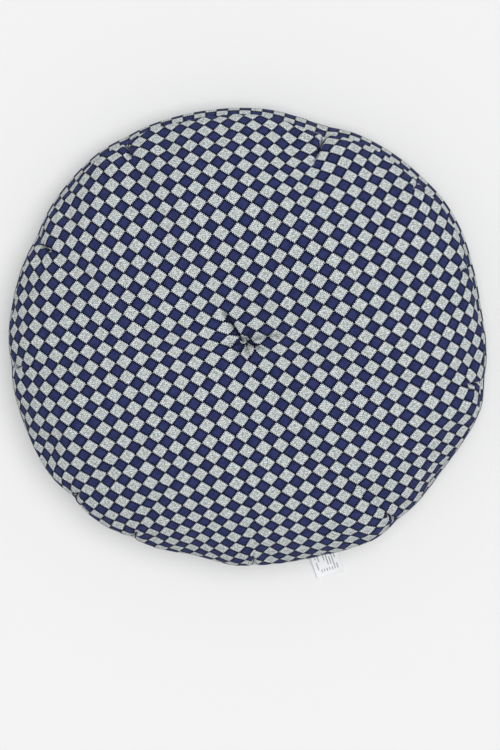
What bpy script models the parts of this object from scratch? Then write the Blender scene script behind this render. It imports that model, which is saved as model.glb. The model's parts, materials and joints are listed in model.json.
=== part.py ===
"""Round boxed seat cushion, tufted once through its middle.

Metres, +Z up. The origin is on the surface that the cushion lies on, at the middle of its base.
A foam core fills the side band. Wadding lies above it and below it, and three pieces of cloth
close round them: a gathered top panel, a side band and a bottom panel. Each piece of cloth is a
turned strip whose edges fold inwards as seam allowances. A thread lies in the groove of each
seam, and one thread runs through the middle from the top stitch to the knot underneath.
"""
import math

import bmesh
import bpy
from mathutils import Matrix, Vector

# Overall sizes
DIAMETER = 0.400             # across the side band at its widest
BASE_LIFT = 0.0085           # lower seam above the surface
BAND_HEIGHT = 0.037          # from seam to seam
CROWN_RISE = 0.0485          # top of the dome above the upper seam
UPPER_SEAM_INSET = 0.003     # upper seam inside the widest line
LOWER_SEAM_INSET = 0.015     # lower seam inside the widest line
FOOT_INSET = 0.024           # flat part of the base inside the lower seam
CROWN_FULLNESS = 3.6         # power of the dome's outline, 2 is an ellipse

# Cloth, thread and clearances
CLOTH = 0.0012
FOLD = 0.0012                # size of the turned corner at each seam
SEAM_ALLOWANCE = 0.008
THREAD_RADIUS = 0.0003
FIT_GAP = 0.0003             # between pieces that touch

# Tuft
TUFT_SHIFT = (-0.0045, 0.0080)  # sewn by eye, a little off the middle
TUFT_SHIFT_REACH = 0.060     # the cloth is drawn aside as far out as this
TUFT_THREAD_RADIUS = 0.0005
TUFT_HOLE_RADIUS = TUFT_THREAD_RADIUS + FIT_GAP
TOP_DIMPLE_RADIUS = 0.034
TOP_DIMPLE_DEPTH = 0.011
BASE_DIMPLE_RADIUS = 0.0080
BASE_DIMPLE_DEPTH = 0.0045
STITCH_RADIUS = 0.0016       # of the stitch on top and of the knot underneath
STITCH_HEIGHT = 0.0011
KNOT_HEIGHT = 0.0022

# Care label
LABEL_ANGLE = math.radians(-71.7)  # about +Z from +X
LABEL_WIDTH = 0.025
LABEL_LENGTH = 0.040         # from the line it swings on to its free end
LABEL_ROOT = 0.0008          # from that line in towards the seam
LABEL_THICKNESS = 0.0006
LABEL_SWING_GAP = 0.0006     # between the folded cloth and the line it swings on

# Places of the joins
BAND_JOINT_ANGLE = math.radians(-127.5)
CLOSING_START_ANGLE = math.radians(-240.0)
CLOSING_ARC = math.radians(60.0)

# Fineness
TURN_STEPS = 48
CROWN_STEPS = 9
DIMPLE_STEPS = 4
BAND_STEPS = 6

# Worked out from the sizes above
LOWER_SEAM_Z = BASE_LIFT
UPPER_SEAM_Z = BASE_LIFT + BAND_HEIGHT
WIDEST_RADIUS = DIAMETER / 2 - CLOTH / 2
UPPER_SEAM_RADIUS = WIDEST_RADIUS - UPPER_SEAM_INSET
LOWER_SEAM_RADIUS = WIDEST_RADIUS - LOWER_SEAM_INSET
FOOT_RADIUS = LOWER_SEAM_RADIUS - FOOT_INSET
FLANGE_OFFSET = (CLOTH + FIT_GAP) / 2    # from a seam's plane to the middle of each allowance
LINING_OFFSET = CLOTH / 2 + FIT_GAP      # from the middle of the cloth to what lies inside it


def clear_scene():
    for old in list(bpy.data.objects):
        bpy.data.objects.remove(old, do_unlink=True)


def make_material(name, colour, roughness):
    material = bpy.data.materials.new(name)
    material.use_nodes = True
    shader = material.node_tree.nodes["Principled BSDF"]
    shader.inputs["Base Color"].default_value = (*colour, 1.0)
    shader.inputs["Roughness"].default_value = roughness
    shader.inputs["Metallic"].default_value = 0.0
    material.diffuse_color = (*colour, 1.0)
    return material


# Outlines: every one is a list of (radius, height) points

def crown_curve():
    """Middle of the top panel's cloth, from the tuft hole out and down to its seam corner."""
    base = UPPER_SEAM_Z + FLANGE_OFFSET + FOLD
    rise = CROWN_RISE - FLANGE_OFFSET - FOLD - CLOTH / 2
    edge_turn = math.asin((TOP_DIMPLE_RADIUS / UPPER_SEAM_RADIUS) ** (CROWN_FULLNESS / 2))
    radii = [TUFT_HOLE_RADIUS + (TOP_DIMPLE_RADIUS - TUFT_HOLE_RADIUS) * i / DIMPLE_STEPS
             for i in range(DIMPLE_STEPS)]
    for i in range(CROWN_STEPS + 1):
        turn = edge_turn + (math.pi / 2 - edge_turn) * i / CROWN_STEPS
        radii.append(UPPER_SEAM_RADIUS * math.sin(turn) ** (2 / CROWN_FULLNESS))
    curve = []
    for radius in radii:
        share = min(radius / UPPER_SEAM_RADIUS, 1.0) ** CROWN_FULLNESS
        height = rise * math.sqrt(1.0 - share)
        curve.append((radius, base + height - top_dimple(radius)))
    return curve


def top_dimple(radius):
    if radius >= TOP_DIMPLE_RADIUS:
        return 0.0
    share = (radius - TUFT_HOLE_RADIUS) / (TOP_DIMPLE_RADIUS - TUFT_HOLE_RADIUS)
    return TOP_DIMPLE_DEPTH * (1.0 - share) ** 2 * (1.0 + 2.0 * share)


def top_panel_curve():
    flange = UPPER_SEAM_Z + FLANGE_OFFSET
    return crown_curve() + [(UPPER_SEAM_RADIUS - FOLD, flange),
                            (UPPER_SEAM_RADIUS - SEAM_ALLOWANCE, flange)]


def band_bulge():
    """Parabola's height that brings the band's widest line to WIDEST_RADIUS."""
    reach = 4 * LOWER_SEAM_INSET - 2 * (UPPER_SEAM_RADIUS - LOWER_SEAM_RADIUS)
    lean = 2 * (UPPER_SEAM_RADIUS - LOWER_SEAM_RADIUS)
    return (reach + math.sqrt(reach ** 2 - lean ** 2)) / 2


def side_band_curve():
    """Middle of the band's cloth, from its lower allowance's edge up to its upper one's."""
    low = LOWER_SEAM_Z + FLANGE_OFFSET
    high = UPPER_SEAM_Z - FLANGE_OFFSET
    curve = [(LOWER_SEAM_RADIUS - SEAM_ALLOWANCE, low), (LOWER_SEAM_RADIUS - FOLD, low)]
    for i in range(BAND_STEPS + 1):
        t = i / BAND_STEPS
        radius = LOWER_SEAM_RADIUS + (UPPER_SEAM_RADIUS - LOWER_SEAM_RADIUS) * t
        height = low + FOLD + (high - low - 2 * FOLD) * t
        curve.append((radius + band_bulge() * t * (1 - t), height))
    return curve + [(UPPER_SEAM_RADIUS - FOLD, high), (UPPER_SEAM_RADIUS - SEAM_ALLOWANCE, high)]


def bottom_panel_curve():
    """Middle of the bottom panel's cloth, from its allowance's edge round to the tuft hole."""
    flange = LOWER_SEAM_Z - FLANGE_OFFSET
    flat = CLOTH / 2
    return [(LOWER_SEAM_RADIUS - SEAM_ALLOWANCE, flange),
            (LOWER_SEAM_RADIUS - FOLD, flange),
            (LOWER_SEAM_RADIUS, flange - FOLD),
            (LOWER_SEAM_RADIUS - FOLD, flange - 2 * FOLD),
            (FOOT_RADIUS, flat),
            (BASE_DIMPLE_RADIUS, flat),
            (STITCH_RADIUS + 2 * FIT_GAP, flat + BASE_DIMPLE_DEPTH),
            (TUFT_HOLE_RADIUS, flat + BASE_DIMPLE_DEPTH)]


def offset_curve(curve, distance):
    """The curve moved to the left of its direction, with mitred corners."""
    moved = []
    for i, point in enumerate(curve):
        sides = []
        for a, b in ((i - 1, i), (i, i + 1)):
            if a >= 0 and b < len(curve):
                run = Vector(curve[b]) - Vector(curve[a])
                sides.append(Vector((-run.y, run.x)).normalized())
        if len(sides) == 1:
            sides.append(sides[0])
        mitre = (sides[0] + sides[1]).normalized()
        reach = distance / max(mitre.dot(sides[0]), 0.3)
        moved.append((point[0] + mitre.x * reach, point[1] + mitre.y * reach))
    return moved


def height_at(curve, radius):
    """Height of a curve that runs inwards where it passes a radius."""
    for (r0, z0), (r1, z1) in zip(curve, curve[1:]):
        if r1 <= radius <= r0:
            return z0 + (z1 - z0) * (r0 - radius) / (r0 - r1)
    raise ValueError("the curve does not reach this radius")


def trim_to_hole(curve, hole):
    """Points whose radius is at least the hole's, with end points brought to its wall."""
    return [(max(r, hole), z) for r, z in curve]


def cloth_outline(curve):
    outer = offset_curve(curve, CLOTH / 2)
    inner = offset_curve(curve, -CLOTH / 2)
    return trim_to_hole(outer + inner[::-1], TUFT_HOLE_RADIUS)


def upper_wadding_outline():
    hole = TUFT_HOLE_RADIUS
    lining = trim_to_hole(offset_curve(top_panel_curve(), -LINING_OFFSET), hole)
    step_radius = UPPER_SEAM_RADIUS - SEAM_ALLOWANCE - FIT_GAP
    floor_z = core_top() + FIT_GAP
    rim = (step_radius, lining[-1][1])
    return lining[:-1] + [rim, (step_radius, floor_z), (hole, floor_z)]


def core_top():
    return UPPER_SEAM_Z - FLANGE_OFFSET - LINING_OFFSET


def core_bottom():
    return LOWER_SEAM_Z + FLANGE_OFFSET + LINING_OFFSET


def foam_core_outline():
    side = offset_curve(side_band_curve(), LINING_OFFSET)
    hole = TUFT_HOLE_RADIUS
    return [(hole, core_bottom())] + side[1:-1] + [(hole, core_top())]


def lower_wadding_outline():
    hole = TUFT_HOLE_RADIUS
    lining = offset_curve(bottom_panel_curve()[3:], -LINING_OFFSET)
    rim_radius = LOWER_SEAM_RADIUS - SEAM_ALLOWANCE - FIT_GAP
    rim = (rim_radius, height_at(lining, rim_radius))
    ceiling = core_bottom() - FIT_GAP
    return [(hole, ceiling), (rim_radius, ceiling), rim] + trim_to_hole(lining[1:], hole)


def thread_outline(radius, height):
    """Six-sided section of a thread."""
    return [(radius + THREAD_RADIUS * math.cos(math.pi * k / 3),
             height + THREAD_RADIUS * math.sin(math.pi * k / 3)) for k in range(6)]


def seam_thread_radius(seam_radius):
    """Radius at which a thread lies in the groove between the two folded edges."""
    corner = CLOTH / 2 / math.sqrt(2)
    groove = seam_radius - FOLD + 2 * corner - FLANGE_OFFSET
    return groove + (THREAD_RADIUS + FIT_GAP) * math.sqrt(2)


# Solids

def draw_to_tuft(vertices):
    """Draw what lies near the middle aside, to where the tuft was sewn."""
    for vertex in vertices:
        radius = math.hypot(vertex.co.x, vertex.co.y)
        near = max(BASE_DIMPLE_RADIUS, STITCH_RADIUS)
        t = min(max((radius - near) / (TUFT_SHIFT_REACH - near), 0.0), 1.0)
        share = 1.0 - t * t * (3.0 - 2.0 * t)
        vertex.co.x += TUFT_SHIFT[0] * share
        vertex.co.y += TUFT_SHIFT[1] * share


def turn_angles(start, arc):
    """Angles of a turning: the whole circle, or an arc whose inner angles are the circle's."""
    step = 2 * math.pi / TURN_STEPS
    if arc is None:
        return [i * step for i in range(TURN_STEPS)]
    end = start + arc
    first = math.floor(start / step) + 1
    inner = [i * step for i in range(first, math.ceil(end / step))]
    return [start] + [a for a in inner if start + 0.2 * step < a < end - 0.2 * step] + [end]


def add_object(name, mesh_builder, material):
    mesh = bpy.data.meshes.new(name)
    bmesh.ops.recalc_face_normals(mesh_builder, faces=mesh_builder.faces)
    mesh_builder.to_mesh(mesh)
    mesh_builder.free()
    mesh.materials.append(material)
    mesh.shade_smooth()
    mesh.set_sharp_from_angle(angle=math.radians(40))
    piece = bpy.data.objects.new(name, mesh)
    bpy.context.scene.collection.objects.link(piece)
    return piece


def turned_piece(name, outline, material, start=0.0, arc=None):
    """A closed outline turned about +Z, round the whole circle or through an arc."""
    builder = bmesh.new()
    rings = []
    for angle in turn_angles(start, arc):
        rings.append([builder.verts.new((r * math.cos(angle), r * math.sin(angle), z))
                      for r, z in outline])
    pairs = list(zip(rings, rings[1:]))
    if arc is None:
        pairs.append((rings[-1], rings[0]))
    else:
        builder.faces.new(rings[0])
        builder.faces.new(rings[-1])
    count = len(outline)
    for near, far in pairs:
        for i in range(count):
            j = (i + 1) % count
            builder.faces.new((near[i], near[j], far[j], far[i]))
    draw_to_tuft(builder.verts)
    bmesh.ops.triangulate(builder, faces=builder.faces)
    return add_object(name, builder, material)


def build_tuft_thread(material):
    """One turned body: the stitch on top, the strand through the filling and the knot below."""
    top_panel = top_panel_curve()[0][1] + CLOTH / 2
    base_panel = bottom_panel_curve()[-1][1] - CLOTH / 2
    steps = [(STITCH_RADIUS * 0.6, top_panel + FIT_GAP + STITCH_HEIGHT),
             (STITCH_RADIUS, top_panel + FIT_GAP + STITCH_HEIGHT * 0.5),
             (STITCH_RADIUS, top_panel + FIT_GAP),
             (TUFT_THREAD_RADIUS, top_panel + FIT_GAP),
             (TUFT_THREAD_RADIUS, base_panel - FIT_GAP),
             (STITCH_RADIUS, base_panel - FIT_GAP),
             (STITCH_RADIUS, base_panel - FIT_GAP - KNOT_HEIGHT * 0.6),
             (STITCH_RADIUS * 0.6, base_panel - FIT_GAP - KNOT_HEIGHT)]
    sides = 16
    builder = bmesh.new()
    rings = []
    for radius, height in steps:
        rings.append([builder.verts.new((radius * math.cos(2 * math.pi * k / sides),
                                         radius * math.sin(2 * math.pi * k / sides), height))
                      for k in range(sides)])
    builder.faces.new(rings[0])
    builder.faces.new(rings[-1])
    for upper, lower in zip(rings, rings[1:]):
        for k in range(sides):
            n = (k + 1) % sides
            builder.faces.new((upper[k], upper[n], lower[n], lower[k]))
    draw_to_tuft(builder.verts)
    return add_object("tuft_thread", builder, material)


def build_side_band(material):
    """The strip, with its two ends a thread's width apart at the joint."""
    half_slit = (THREAD_RADIUS + FIT_GAP) / LOWER_SEAM_RADIUS
    return turned_piece("side_band", cloth_outline(side_band_curve()), material,
                        BAND_JOINT_ANGLE + half_slit, 2 * math.pi - 2 * half_slit)


def build_band_joint_thread(material):
    """The thread that joins the strip's two ends, as a tube along the band's curve."""
    curve = bpy.data.curves.new("band_joint_thread", "CURVE")
    curve.dimensions = "3D"
    curve.bevel_depth = THREAD_RADIUS
    curve.bevel_resolution = 1
    curve.use_fill_caps = True
    points = side_band_curve()[2:-2]
    spline = curve.splines.new("POLY")
    spline.points.add(len(points) - 1)
    for point, (radius, height) in zip(spline.points, points):
        point.co = (radius * math.cos(BAND_JOINT_ANGLE), radius * math.sin(BAND_JOINT_ANGLE),
                    height, 1.0)
    curve.materials.append(material)
    piece = bpy.data.objects.new("band_joint_thread", curve)
    bpy.context.scene.collection.objects.link(piece)
    return piece


def build_seam_threads(material, hand_material):
    """The upper seam's ring, and the lower seam's ring in two lengths: machine and hand sewn."""
    upper = thread_outline(seam_thread_radius(UPPER_SEAM_RADIUS), UPPER_SEAM_Z)
    turned_piece("upper_seam_thread", upper, material)
    radius = seam_thread_radius(LOWER_SEAM_RADIUS)
    lower = thread_outline(radius, LOWER_SEAM_Z)
    end_gap = FIT_GAP / radius
    closing_end = CLOSING_START_ANGLE + CLOSING_ARC
    turned_piece("lower_seam_thread", lower, material,
                 closing_end + end_gap, 2 * math.pi - CLOSING_ARC - 2 * end_gap)
    turned_piece("closing_stitch", lower, hand_material, CLOSING_START_ANGLE, CLOSING_ARC)


def label_hinge_radius():
    return LOWER_SEAM_RADIUS + CLOTH / 2 + LABEL_SWING_GAP


def label_droop():
    """Angle below the horizontal at which the label's free end meets the surface."""
    drop = LOWER_SEAM_Z - LABEL_THICKNESS / 2 - FIT_GAP
    return math.asin(drop / LABEL_LENGTH)


def build_care_label(material):
    """A flat ribbon. Its object's origin is on the line that it swings on."""
    builder = bmesh.new()
    bmesh.ops.create_cube(builder, size=1.0)
    length = LABEL_LENGTH + LABEL_ROOT
    size = Matrix.Diagonal((length, LABEL_WIDTH, LABEL_THICKNESS, 1.0))
    middle = Matrix.Translation((length / 2 - LABEL_ROOT, 0.0, 0.0))
    bmesh.ops.transform(builder, matrix=middle @ size, verts=builder.verts)
    label = add_object("care_label", builder, material)
    swing = bpy.data.objects.new("label_swing", None)
    bpy.context.scene.collection.objects.link(swing)
    radius = label_hinge_radius()
    swing.location = (radius * math.cos(LABEL_ANGLE), radius * math.sin(LABEL_ANGLE),
                      LOWER_SEAM_Z)
    swing.rotation_euler = (0.0, label_droop(), LABEL_ANGLE)
    label.parent = swing
    return label


def build_cushion():
    checked_cloth = make_material("checked_cloth", (0.10, 0.12, 0.24), 0.85)
    foam = make_material("foam", (0.80, 0.74, 0.55), 0.95)
    wadding = make_material("wadding", (0.85, 0.85, 0.83), 0.95)
    seam_thread = make_material("seam_thread", (0.05, 0.06, 0.14), 0.7)
    pale_thread = make_material("pale_thread", (0.60, 0.64, 0.54), 0.7)
    ribbon = make_material("label_ribbon", (0.85, 0.85, 0.84), 0.5)

    turned_piece("top_panel", cloth_outline(top_panel_curve()), checked_cloth)
    build_side_band(checked_cloth)
    turned_piece("bottom_panel", cloth_outline(bottom_panel_curve()), checked_cloth)
    turned_piece("upper_wadding", upper_wadding_outline(), wadding)
    turned_piece("foam_core", foam_core_outline(), foam)
    turned_piece("lower_wadding", lower_wadding_outline(), wadding)
    build_seam_threads(seam_thread, pale_thread)
    build_band_joint_thread(seam_thread)
    build_tuft_thread(pale_thread)
    build_care_label(ribbon)


clear_scene()
build_cushion()
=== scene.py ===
"""Looks of the round checked seat cushion: cloth cover, filling, threads, care label, studio.

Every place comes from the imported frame. The cover's pieces carry a UV map named "cloth" whose
values are metres on the flat cloth, so the woven checks follow the cloth over the dome, jump at
each tuck and run straight along the side band.
"""
import json
import math

import bpy
import numpy as np
from mathutils import Matrix, Vector, noise


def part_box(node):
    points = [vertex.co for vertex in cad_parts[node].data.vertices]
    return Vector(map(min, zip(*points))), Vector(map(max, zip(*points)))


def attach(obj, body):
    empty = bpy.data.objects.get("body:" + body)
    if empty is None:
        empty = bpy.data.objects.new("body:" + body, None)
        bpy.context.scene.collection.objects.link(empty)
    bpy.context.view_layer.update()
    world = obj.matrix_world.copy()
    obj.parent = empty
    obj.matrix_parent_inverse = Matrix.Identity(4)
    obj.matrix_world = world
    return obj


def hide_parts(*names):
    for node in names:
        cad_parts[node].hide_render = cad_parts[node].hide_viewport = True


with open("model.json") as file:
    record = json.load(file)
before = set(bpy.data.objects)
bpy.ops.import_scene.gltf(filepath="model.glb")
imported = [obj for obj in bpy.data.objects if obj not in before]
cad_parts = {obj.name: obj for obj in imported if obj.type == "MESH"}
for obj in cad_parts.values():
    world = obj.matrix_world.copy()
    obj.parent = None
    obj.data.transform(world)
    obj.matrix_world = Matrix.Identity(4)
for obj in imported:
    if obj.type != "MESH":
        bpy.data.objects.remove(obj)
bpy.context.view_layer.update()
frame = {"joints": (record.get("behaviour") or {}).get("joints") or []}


# Places read from the frame

def middle_of(node):
    low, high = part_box(node)
    return (Vector(low) + Vector(high)) / 2


def radius_of(node):
    low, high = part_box(node)
    return (high[0] - low[0]) / 2


SEAM_HIGH = middle_of("upper_seam_thread").z
SEAM_LOW = middle_of("lower_seam_thread").z
RADIUS_HIGH = radius_of("upper_seam_thread")
RADIUS_LOW = radius_of("lower_seam_thread")
WIDEST = radius_of("side_band")
CROWN_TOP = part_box("top_panel")[1][2]
TUFT = middle_of("tuft_thread").xy + Vector((0.0035, -0.0015))
TUFT_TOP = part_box("tuft_thread")[1][2]
TUFT_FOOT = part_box("tuft_thread")[0][2]

# The cover
CHECK = 0.0097               # side of one woven check
CROWN_POWER = 3.6            # fullness of the dome's outline
START_RISE = 0.86            # share of the dome's rise before it is inflated
CUT_RISE = 0.93              # share of the rise that the cloth is cut for
DRAWN_START, DRAWN_REACH = 0.008, 0.060    # the cloth is drawn aside to the tuft in this ring
DIMPLE_RADIUS = 0.030
DIMPLE_MORE = 0.003          # the dimple goes this much below the tuft thread's top
CLOTH_THICKNESS = 0.0009
SEAM_LIP = 0.0010            # from a seam's plane to where the cloth turns in
ALLOWANCE = 0.0065           # cloth turned in at each seam

# Each tuck: clockwise angle from +Y seen from above in degrees, depth, length inwards
TUCKS = [(20, 1.0, 0.052), (46, 0.45, 0.024), (70, 0.5, 0.026), (99, 0.9, 0.034),
         (140, 1.0, 0.036), (178, 0.8, 0.032), (210, 0.8, 0.030), (228, 0.9, 0.030),
         (264, 0.8, 0.030), (296, 1.0, 0.040), (329, 0.8, 0.034)]
TUCK_DEPTH = 0.0095
TUCK_SLOT = 0.0009           # half width of the sharp slot in a fold
TUCK_STEEP, TUCK_GENTLE = 0.0022, 0.0055    # widths of the slopes on a fold's two sides
TUCK_TAKE_UP = 0.012         # cloth hidden in the deepest tuck at the seam
TUCK_SPREAD = 0.16           # radians beside a tuck over which its cloth is drawn in
TUCK_DIP, TUCK_DIP_WIDTH = 0.0020, 0.016    # the side's dip at a tuck
TUCK_PULL, TUCK_PULL_WIDTH = 0.0012, 0.006  # the band's top edge is drawn in at a tuck
TUCK_PINNED = 0.0012         # half width of the strip held still along a tuck
SLOT_SHARE = 0.75            # of a fold's depth, the part in its slot

# Each swelling of the side: clockwise angle from +Y, height, half width in degrees
LUMPS = [(15, -0.0045, 9), (50, 0.0030, 14), (80, -0.0035, 8), (104, 0.0045, 10),
         (125, -0.0015, 7), (145, 0.0060, 12), (180, 0.0020, 6), (194, -0.0025, 7),
         (212, 0.0020, 8), (231, 0.0085, 20), (264, 0.0040, 18), (325, 0.0035, 14)]
DRAWN_IN = 0.0048            # the sides towards +Y and -Y lie this much further in
LOW_WAVE = 0.35              # share of the uneven outline that the lower seam keeps
TOP_LEAN, LEAN_MIDDLE, LEAN_WIDTH = 0.0016, 17.0, 0.75

# Each crease at the tuft: clockwise angle from +Y, depth, length
CREASES = [(331, 1.0, 0.036), (103, 1.0, 0.016), (70, 0.55, 0.036), (28, 0.5, 0.014),
           (155, 0.6, 0.013), (205, 0.4, 0.016), (262, 0.6, 0.014)]
CREASE_DEPTH = 0.0105
CREASE_SLOT, CREASE_SLOPE = 0.0011, 0.0036
CREASE_TAKE_UP = 0.0055      # cloth hidden in a full crease
CREASE_REACH = 0.020         # how far beside a crease its cloth is drawn in
CREASE_ROOT = 0.004          # nearer the tuft than this, a crease hides no more cloth
TAKEN_UP = 0.0059            # cloth drawn into the tuft from its +Y and -Y sides
TAKEN_UP_RAMP, TAKEN_UP_REACH = 0.009, 0.085
DRAWN_IN_BESIDE = 0.0028     # cloth drawn into the tuft from its +X and -X sides
BESIDE_RAMP, BESIDE_REACH, BESIDE_WIDTH = 0.004, 0.022, 0.014
FUNNEL_DEPTH, FUNNEL_RADIUS = 0.0045, 0.0034    # the pinch right at the tuft's thread
PINNED_MIDDLE = 0.0032       # cloth held still at the tuft


def compass(degrees):
    """Angle about +Z from +X, in radians, of a clockwise angle from +Y in degrees."""
    return math.radians(90.0 - degrees)


def smooth(t):
    t = min(max(t, 0.0), 1.0)
    return t * t * (3.0 - 2.0 * t)


def turn_between(a, b):
    """Signed angle from b to a, between -pi and pi."""
    return (a - b + math.pi) % (2 * math.pi) - math.pi


TUCK_LIST = sorted((compass(angle) % (2 * math.pi), depth, length)
                   for angle, depth, length in TUCKS)


# Mesh helpers

def new_piece(name, vertices, faces, material):
    mesh = bpy.data.meshes.new(name)
    mesh.from_pydata([tuple(v) for v in vertices], [], faces)
    mesh.validate()
    mesh.materials.append(material)
    mesh.shade_smooth()
    piece = bpy.data.objects.new(name, mesh)
    bpy.context.scene.collection.objects.link(piece)
    return piece


def make_active(piece):
    bpy.ops.object.select_all(action="DESELECT")
    piece.select_set(True)
    bpy.context.view_layer.objects.active = piece


def subdivide(piece):
    make_active(piece)
    modifier = piece.modifiers.new("finish", "SUBSURF")
    modifier.levels = modifier.render_levels = 1
    modifier.uv_smooth = "NONE"
    modifier.boundary_smooth = "PRESERVE_CORNERS"
    bpy.ops.object.modifier_apply(modifier=modifier.name)


def band_faces(low, high, count):
    """Four-sided faces between two rings of as many points, by their first points."""
    return [(low + k, low + (k + 1) % count, high + (k + 1) % count, high + k)
            for k in range(count)]


def coordinates(mesh):
    flat = np.zeros(len(mesh.vertices) * 3)
    mesh.vertices.foreach_get("co", flat)
    return flat.reshape(-1, 3)


def set_coordinates(mesh, points):
    mesh.vertices.foreach_set("co", np.asarray(points, float).ravel())
    mesh.update()


# The angular division: sectors between tucks, with finer steps beside each tuck

COARSE_STEPS = 46            # steps in all round a ring of factor 1
RIM_FACTOR = 8               # a ring at the rim has this many times more
BASE_FACTOR = 4
BUNCH = 0.78                 # how much the steps crowd towards the tucks


def sector_angles(factor):
    """Angles of a ring: each sector in coarse steps times a factor, bunched towards tucks."""
    angles = []
    for i, (start, _, _) in enumerate(TUCK_LIST):
        following = TUCK_LIST[(i + 1) % len(TUCK_LIST)][0]
        span = (following - start) % (2 * math.pi)
        steps = max(2, round(COARSE_STEPS * span / (2 * math.pi))) * factor
        for k in range(steps):
            t = k / steps
            t -= BUNCH * math.sin(2 * math.pi * t) / (2 * math.pi)
            angles.append(start + span * t)
    return angles


# The top panel

def crown_height(radius, rise):
    share = min(radius / RADIUS_HIGH, 1.0) ** CROWN_POWER
    return rise * math.sqrt(max(1.0 - share, 0.0))


def meridian(rise, steps=400):
    """Radii and the lengths along the dome to them, from its middle to the seam."""
    radii = [RADIUS_HIGH * math.sin(math.pi / 2 * i / steps) ** (2 / CROWN_POWER)
             for i in range(steps + 1)]
    heights = [crown_height(r, rise) for r in radii]
    lengths = [0.0]
    for i in range(steps):
        lengths.append(lengths[-1] + math.hypot(radii[i + 1] - radii[i],
                                                heights[i + 1] - heights[i]))
    return radii, lengths


RISE = CROWN_TOP - SEAM_HIGH - SEAM_LIP
MERIDIAN_RADII, MERIDIAN_LENGTHS = meridian(RISE)
FLAT_RADIUS = MERIDIAN_LENGTHS[-1]


def flat_length(radius):
    """Length of cloth from the middle of the dome out to a radius."""
    return float(np.interp(radius, MERIDIAN_RADII, MERIDIAN_LENGTHS))


def radius_at_length(length):
    return float(np.interp(length, MERIDIAN_LENGTHS, MERIDIAN_RADII))


def tuck_share(length_in, tuck_length):
    """How far a tuck is formed at a length of cloth inwards from the seam."""
    return smooth(1.5 * (1.0 - length_in / tuck_length))


def rim_wave(angle):
    """Outward swell of the side between tucks, and its dip at each tuck."""
    swell = 0.0
    for tuck_angle, depth, _ in TUCK_LIST:
        away = abs(turn_between(angle, tuck_angle)) * RADIUS_HIGH
        swell -= TUCK_DIP * depth * math.exp(-(away / TUCK_DIP_WIDTH) ** 2)
    for lump_angle, out, reach in LUMPS:
        away = turn_between(angle, compass(lump_angle))
        swell += out * math.exp(-(away / math.radians(reach)) ** 2)
    return swell - DRAWN_IN * math.sin(angle) ** 2


def top_lean(angle):
    """The top leans in a little on its +Y side, which bares more of the band there."""
    away = turn_between(angle, compass(LEAN_MIDDLE))
    return TOP_LEAN * math.exp(-(away / LEAN_WIDTH) ** 2)


def fold_depth(away, slot, slope):
    """Share of a fold's depth beside its line: a sharp slot in a softer slope."""
    return (SLOT_SHARE * math.exp(-(away / slot) ** 2)
            + (1.0 - SLOT_SHARE) * math.exp(-abs(away) / slope))


def tuck_drop(angle, length_in):
    """Depth of the tucks' folds: steep on one side of the fold and gentle on the other."""
    drop = 0.0
    for tuck_angle, depth, length in TUCK_LIST:
        formed = tuck_share(length_in, length)
        if formed == 0.0:
            continue
        away = turn_between(angle, tuck_angle) * RADIUS_HIGH
        slope = TUCK_STEEP if away > 0 else TUCK_GENTLE
        drop += TUCK_DEPTH * depth * formed * fold_depth(away, TUCK_SLOT, slope)
    return drop


def crease_drop(angle, radius):
    """Depth of the creases that run out from the tuft."""
    drop = 0.0
    for crease_angle, depth, length in CREASES:
        along = min(radius / length, 1.0)
        strength = depth * math.sin(math.pi * min(along * 0.9 + 0.1, 1.0)) ** 0.7
        away = turn_between(angle, compass(crease_angle)) * radius
        drop += CREASE_DEPTH * strength * fold_depth(away, CREASE_SLOT, CREASE_SLOPE)
    return drop


def dimple_drop(radius, depth):
    if radius >= DIMPLE_RADIUS:
        return 0.0
    share = radius / DIMPLE_RADIUS
    return depth * (1.0 - share) ** 2 * (1.0 + 1.2 * share)


def drawn_aside(radius, angle):
    """Place in plan of a point of the dome, with the middle drawn to where the tuft is."""
    share = 1.0 - smooth((radius - DRAWN_START) / (DRAWN_REACH - DRAWN_START))
    return (radius * math.cos(angle) + TUFT.x * share, radius * math.sin(angle) + TUFT.y * share)


def seam_lip(turned_in):
    """How far cloth has turned towards its seam's plane, at a distance turned in."""
    return 0.55 * smooth(turned_in / SEAM_LIP)


def crown_point(length, angle, rise, formed):
    """A point of the top panel, by its length of cloth from the middle. formed is 0 for
    no tucks and 1 for full ones. Past the seam the cloth turns in as its allowance."""
    turned_in = max(length - FLAT_RADIUS, 0.0)
    length_in = max(FLAT_RADIUS - length, 0.0)
    radius = radius_at_length(length)
    height = crown_height(radius, rise)
    steep = smooth((radius - 0.6 * RADIUS_HIGH) / (0.4 * RADIUS_HIGH))
    drop = formed * tuck_drop(angle, length_in)
    wave = rim_wave(angle) - top_lean(angle)
    out = radius + wave * steep - drop * steep * 0.75 - turned_in
    x, y = drawn_aside(max(out, 0.0), angle)
    z = SEAM_HIGH + SEAM_LIP * (1.0 - seam_lip(turned_in)) + height
    z -= drop * (1.0 - 0.6 * steep) * smooth(length_in / 0.004)
    z -= dimple_drop(radius, CROWN_TOP - TUFT_TOP + DIMPLE_MORE - (RISE - rise))
    return (x, y, z)


# The top panel's rings inside its rim: radius and factor
CROWN_RINGS = ([(r, 1) for r in (0.0012, 0.0024)]
               + [(r * 0.001, 2) for r in (3.6, 4.9)]
               + [(r * 0.001, 4) for r in (6.3, 7.8, 9.4, 11.1, 12.9, 15.2)]
               + [(0.0178 + 0.0030 * i, 4) for i in range(28)])
RIM_STEP = 0.0036


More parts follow.
